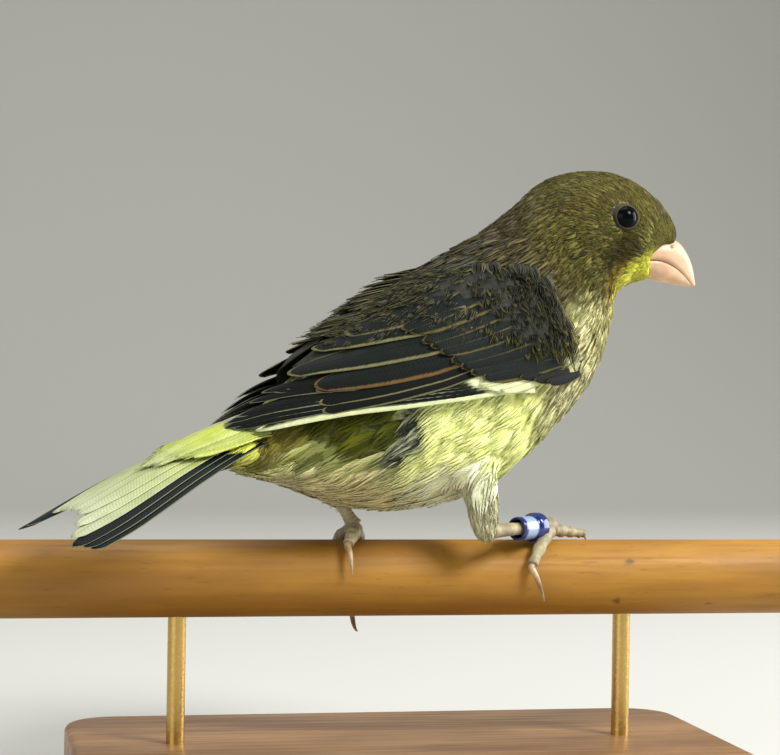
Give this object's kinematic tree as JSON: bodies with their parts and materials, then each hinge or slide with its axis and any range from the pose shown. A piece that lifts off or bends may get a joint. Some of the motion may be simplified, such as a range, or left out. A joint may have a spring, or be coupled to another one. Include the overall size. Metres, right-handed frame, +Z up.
{
  "type": "perched songbird model",
  "caption": "Life-size still model of a streaked olive and yellow finch-like cage bird gripping a cut length of dowel on a plain display stand.",
  "frame": {"origin": "middle of the stand base's underside", "axes": "+X along the perch, the way the bird faces; +Z up; the viewer of the picture stands on the -Y side"},
  "size_m": [0.145, 0.0627, 0.1037],
  "materials": {
    "head": "olive-brown feathers with fine dark streaks",
    "neck": "olive-brown feathers",
    "torso": "brown-streaked back, pale lemon belly feathers",
    "rump": "yellow and buff feathers",
    "tail": "cream and black tail feathers",
    "wing": "near-black feathers with thin buff edges",
    "bill": "pinkish horn",
    "eye": "glossy near-black",
    "thigh": "cream feathers",
    "foot": "scaled flesh-pink skin",
    "claw": "pale horn",
    "leg_ring": "glossy deep blue, bare",
    "stand_base": "satin varnished wood",
    "stand_rod": "satin brass",
    "stand_perch": "golden-brown dowel with small dark marks"
  },
  "bodies": {
    "root": {"head": "head", "neck": "neck", "torso": "torso", "rump": "rump", "tail": "tail", "wing_right": "wing", "wing_left": "wing", "bill_upper": "bill", "bill_lower": "bill", "eye_right": "eye", "eye_left": "eye", "thigh_right": "thigh", "thigh_left": "thigh", "shank_right": "foot", "shank_left": "foot", "foot_right": "foot", "foot_left": "foot", "claw_right_hind": "claw", "claw_right_inner": "claw", "claw_right_middle": "claw", "claw_right_outer": "claw", "claw_left_hind": "claw", "claw_left_inner": "claw", "claw_left_middle": "claw", "claw_left_outer": "claw", "leg_ring": "leg_ring", "stand_base": "stand_base", "stand_rod_left": "stand_rod", "stand_rod_right": "stand_rod", "stand_perch": "stand_perch"}
  },
  "joints": []
}
